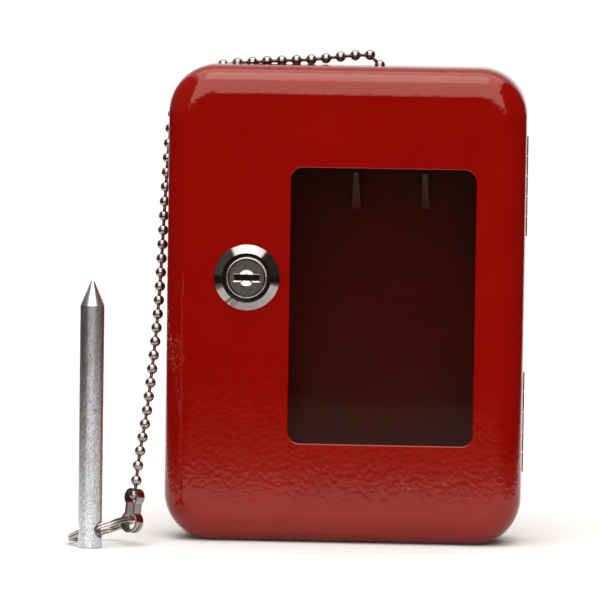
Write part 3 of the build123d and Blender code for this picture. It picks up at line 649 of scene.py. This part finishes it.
def ring_coil(material):
    """A flat wire wound twice, its second turn lying on the first."""
    right = Vector((cos(RING_TURN), -sin(RING_TURN), tan(RING_TILT))).normalized()
    back = Vector((sin(RING_TURN), cos(RING_TURN), -tan(RING_DROP))).normalized()
    up = right.cross(back)
    total = 4 * pi - RING_CLIMB
    form = bmesh.new()
    loops = []
    for step in range(RING_STEPS + 1):
        turned = total * step / RING_STEPS
        climbed = min(max((turned - 2 * pi + RING_CLIMB) / RING_CLIMB, 0.0), 1.0)
        eased = climbed * climbed * (3 - 2 * climbed)
        outwards = cos(RING_START + turned) * right + sin(RING_START + turned) * back
        centre = RING_CENTRE + outwards * RING_RADIUS + up * (eased - 0.5) * RING_TURN_PITCH
        loops.append([form.verts.new(centre + outwards * u + up * v) for u, v in wire_section()])
    for low, high in zip(loops, loops[1:]):
        for index in range(len(low)):
            after = (index + 1) % len(low)
            form.faces.new((low[index], low[after], high[after], high[index]))
    form.faces.new(loops[0])
    form.faces.new(loops[-1])
    bmesh.ops.recalc_face_normals(form, faces=form.faces)
    mesh = bpy.data.meshes.new("split_ring_coil")
    form.to_mesh(mesh)
    form.free()
    coil = mesh_piece("split_ring_coil", mesh, "case", material)
    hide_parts("split_ring")
    return coil


# ---- Room: floor, light and camera ----


def add_camera():
    """A long lens, a little to the right and above, rolled slightly."""
    back = Vector((
        sin(CAMERA_AZIMUTH) * cos(CAMERA_ELEVATION),
        -cos(CAMERA_AZIMUTH) * cos(CAMERA_ELEVATION),
        sin(CAMERA_ELEVATION),
    ))
    level = Vector((cos(CAMERA_AZIMUTH), sin(CAMERA_AZIMUTH), 0.0))
    above = back.cross(level)
    right = cos(CAMERA_ROLL) * level + sin(CAMERA_ROLL) * above
    up = back.cross(right)
    data = bpy.data.cameras.new("camera")
    data.lens = CAMERA_LENS
    data.sensor_width = CAMERA_SENSOR
    data.clip_start, data.clip_end = CAMERA_CLIP
    camera = bpy.data.objects.new("camera", data)
    bpy.context.scene.collection.objects.link(camera)
    turn = Matrix((right, up, back)).transposed().to_4x4()
    camera.matrix_world = Matrix.Translation(CAMERA_AIM + back * CAMERA_DISTANCE) @ turn
    bpy.context.scene.camera = camera


def flat_sheet(name, rise):
    """A level sheet, wider than any view, at a rise above the floor's height."""
    form = bmesh.new()
    bmesh.ops.create_grid(form, x_segments=1, y_segments=1, size=SHEET_HALF_WIDTH)
    mesh = bpy.data.meshes.new(name)
    form.to_mesh(mesh)
    form.free()
    sheet = bpy.data.objects.new(name, mesh)
    sheet.location = (0.0, 0.0, FLOOR_Z + rise)
    bpy.context.scene.collection.objects.link(sheet)
    return sheet


def add_floor():
    """A plain pale floor, the same all over."""
    paint = Paint("floor", Base_Color=FLOOR_PALE, Roughness=FLOOR_ROUGHNESS, Specular_IOR_Level=0.0)
    flat_sheet("floor", 0.0).data.materials.append(paint.material)


def add_dark_card():
    """A soft-edged dark card round the front and sides, which paints dark reflections. It shows only in
    reflections and through glass, and casts no shadow.
    """
    paint = Paint("dark_card", Roughness=FLOOR_ROUGHNESS, Specular_IOR_Level=0.0)
    forward = paint.rescale(paint.axis("Y"), CARD_FULL_Y, CARD_START_Y)
    spread = paint.math("MULTIPLY", paint.axis("Y"), CARD_SPREAD)
    aside = paint.math("SUBTRACT", paint.math("ABSOLUTE", paint.axis("X")), spread)
    open_middle = paint.math("MULTIPLY", forward, paint.rescale(aside, CARD_FULL_X, CARD_START_X))
    # Painted reflection: the card is darkest far off and pale near the object.
    fading = [(0.0, CARD_FAR), (0.55, CARD_NEAR), (0.85, CARD_EDGE), (1.0, FLOOR_PALE[:3])]
    paint.colour(paint.ramp(open_middle, fading))
    paint.feed(paint.shader, "Alpha", paint.rescale(open_middle, 1.0, CARD_OPAQUE_BELOW))
    card = flat_sheet("dark_card", CARD_RISE)
    card.data.materials.append(paint.material)
    card.visible_camera = False
    card.visible_diffuse = False
    card.visible_volume_scatter = False
    card.visible_shadow = False


def add_softbox():
    """A square softbox over the object, a little in front and to the left, turned towards it."""
    data = bpy.data.lights.new("overhead_softbox", "AREA")
    data.shape = "SQUARE"
    data.size = SOFTBOX_SIZE
    data.energy = SOFTBOX_WATTS
    light = bpy.data.objects.new("overhead_softbox", data)
    light.location = SOFTBOX_PLACE
    light.rotation_euler = (-SOFTBOX_PLACE).to_track_quat("-Z", "Y").to_euler()
    bpy.context.scene.collection.objects.link(light)


def add_room_light():
    """A bright band from the front over the top, dim walls beside it and a brighter wall behind."""
    world = bpy.data.worlds.new("studio")
    world.use_nodes = True
    room = Nodes(world.node_tree, "Generated")
    height = room.axis("Z")
    depth = room.axis("Y")
    outside = BAND_HALF_WIDTH + BAND_SIDE_SOFTNESS
    inside = BAND_HALF_WIDTH - BAND_SIDE_SOFTNESS
    within = room.rescale(room.math("ABSOLUTE", room.axis("X")), outside, inside)
    past_top = room.math("SUBTRACT", depth, room.math("MULTIPLY", height, tan(BAND_PAST_TOP)))
    over = room.rescale(past_top, BAND_END_SOFTNESS, -BAND_END_SOFTNESS)
    above = room.rescale(height, BAND_LOW, BAND_HIGH)
    band = room.math("MULTIPLY", within, room.math("MULTIPLY", over, above))
    behind = room.math("MULTIPLY", within, room.rescale(depth, 0.0, BACK_FULL_BY))
    side = room.rescale(room.axis("X"), LEFT_FULL_BY, 0.0, LEFT_LIGHT, SIDE_LIGHT)
    plain = room.math("ADD", side, room.math("MULTIPLY", behind, BACK_LIGHT))
    extra = room.math("MULTIPLY", band, room.math("SUBTRACT", BAND_LIGHT, plain))
    background = room.tree.nodes["Background"]
    room.feed(background, "Color", ROOM_COLOUR)
    room.feed(background, "Strength", room.math("ADD", plain, extra))
    bpy.context.scene.world = world


# ---- Scene ----

RED = red_paint("red_paint", LID_RED_DEEP, LID_RED_LIGHT, 0.045, LID_PITS, LID_RUBS)
# A darker copy of the red paint: painted shade on the tray, hook rail and hinge leaves inside the lid.
SHADED_RED_INSIDE = red_paint("red_paint_inside", SHADED_INSIDE_RED_DEEP, SHADED_INSIDE_RED_LIGHT, 0.12)
ZINC = zinc_plate()
NICKEL = polished_nickel("polished_nickel", (0.42, 0.375, 0.36), 0.06)
BEADS = polished_nickel("bead_nickel", (0.38, 0.335, 0.32), 0.14)
# The links are darker than the beads: painted shade in the gaps between beads.
SHADED_LINKS = polished_nickel("link_nickel_shaded", (0.14, 0.09, 0.08), 0.25)
RING = polished_nickel("ring_nickel", (0.50, 0.43, 0.41), 0.14)
COUPLING = polished_nickel("coupling_nickel", (0.42, 0.37, 0.355), 0.14)
PLUG = lock_plug_zinc()
HOUSING = lock_housing_zinc()
# The shutter is coloured near black: painted shade for the dark inside of the keyway.
SHADED_SHUTTER = polished_nickel("keyway_shutter", (0.025, 0.022, 0.021), 0.3)
STEEL = turned_steel()
RUBBER = rubber()
GLASS = window_glass()
BRASS = brass()

for node, material in {
    "rear_tray": SHADED_RED_INSIDE,
    "hook_rail": SHADED_RED_INSIDE,
    "door_shell": RED,
    "rail_rivets": ZINC,
    "case_hinge_leaves": SHADED_RED_INSIDE,
    "door_hinge_leaves": SHADED_RED_INSIDE,
    "case_hinge_rivets": SHADED_RED_INSIDE,
    "hinge_pins": ZINC,
    "cam_keeper": ZINC,
    "keeper_rivets": ZINC,
    "chain_grommet": RUBBER,
    "chain_stop": BEADS,
    "chain_coupling": COUPLING,
    "chain_end_bead": BEADS,
    "split_ring": BEADS,
    "glass_pane": GLASS,
    "pane_seal": RUBBER,
    "pane_retainer": ZINC,
    "retainer_studs": ZINC,
    "retainer_nuts": ZINC,
    "lock_bezel": NICKEL,
    "lock_housing": HOUSING,
    "lock_nut": ZINC,
    "lock_star_washer": ZINC,
    "lock_plug": PLUG,
    "keyway_shutter": SHADED_SHUTTER,
    "lock_wafers": BRASS,
    "wafer_springs": ZINC,
    "lock_cam": ZINC,
    "cam_washer": ZINC,
    "cam_screw": ZINC,
    "striker_rod": STEEL,
}.items():
    wear(node, material)

bead_chain(BEADS, SHADED_LINKS, ring_coil(RING))
add_floor()
add_dark_card()
add_room_light()
add_softbox()
add_camera()
bpy.context.scene.view_settings.view_transform = "Standard"
